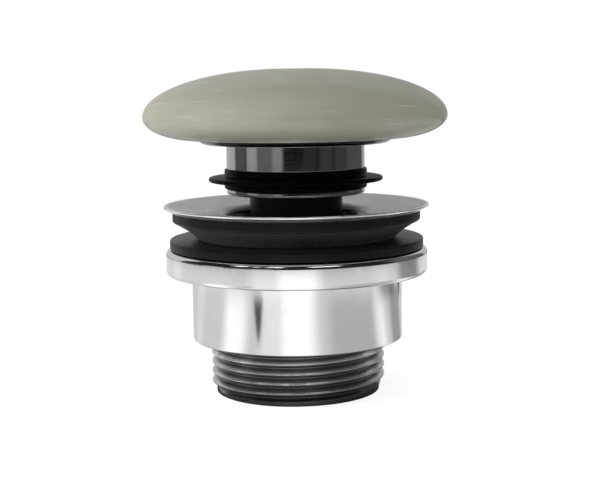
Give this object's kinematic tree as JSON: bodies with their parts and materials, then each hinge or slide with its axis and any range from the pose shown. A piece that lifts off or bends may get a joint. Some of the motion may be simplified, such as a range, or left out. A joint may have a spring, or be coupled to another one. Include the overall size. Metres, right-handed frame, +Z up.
{
  "type": "sprung plug basin waste",
  "caption": "Basin waste with a push-push sprung plug under a ceramic mushroom cap, dished flange, rubber gaskets and a flanged back nut on its threaded tail.",
  "frame": {"origin": "centre of the threaded tail's end face, which the part stands on", "axes": "+Z up the waste's axis from the tail to the cap; X and Y are level, and a cross bar arm lies between them"},
  "size_m": [0.0724, 0.0724, 0.0773],
  "materials": {
    "body_chrome": "chrome plated brass, satin on the flange",
    "nut_chrome": "polished chrome plate on brass",
    "gasket_rubber": "moulded black rubber, matt",
    "seal_rubber": "soft black rubber",
    "cartridge_black": "moulded black plastic",
    "stud_brass": "turned brass",
    "stud_steel": "stainless steel",
    "spring_steel": "stainless spring wire",
    "sleeve_steel": "turned stainless steel, fine turning lines",
    "plate_chrome": "polished dark chrome",
    "plunger_acetal": "moulded acetal",
    "index_acetal": "moulded acetal",
    "cap_glaze": "warm grey glaze on ceramic"
  },
  "bodies": {
    "waste": {"waste_body": "body_chrome", "flange_gasket": "gasket_rubber", "cartridge_housing": "cartridge_black", "housing_cap": "cartridge_black", "wiper_ring": "seal_rubber", "cartridge_stud": "stud_brass", "stud_washer": "stud_brass", "lock_nut": "stud_brass", "spring": "spring_steel"},
    "plug": {"ceramic_cap": "cap_glaze", "cap_plate": "plate_chrome", "cap_stud": "stud_steel", "plug_sleeve": "sleeve_steel", "plug_seal": "seal_rubber", "plunger": "plunger_acetal"},
    "index": {"index_ring": "index_acetal", "index_pins": "stud_steel"},
    "clamp": {"basin_washer": "gasket_rubber"},
    "nut": {"back_nut": "nut_chrome"}
  },
  "joints": [
    {"name": "plug_press", "type": "slide", "parent": "waste", "child": "plug", "axis": [0, 0, 1], "range_m": [-0.0069, 0], "stiffness_N_per_m": 500, "springref_m": 0.016, "deforming": ["spring"]},
    {"name": "index_turn", "type": "hinge", "parent": "waste", "child": "index", "pos_m": [0, 0, 0.038], "axis": [0, 0, 1], "range_deg": [0, 41.6]},
    {"name": "nut_travel", "type": "slide", "parent": "waste", "child": "clamp", "axis": [0, 0, 1], "range_m": [-0.01155, 0]},
    {"name": "nut_turn", "type": "hinge", "parent": "clamp", "child": "nut", "pos_m": [0, 0, 0.0238], "axis": [0, 0, 1], "range_deg": [-1800, 0]}
  ],
  "couplings": [
    {"joint": "index_turn", "follows": "plug_press", "rad_per_m": -104.72},
    {"joint": "nut_travel", "follows": "nut_turn", "m_per_rad": 0.00036749}
  ]
}
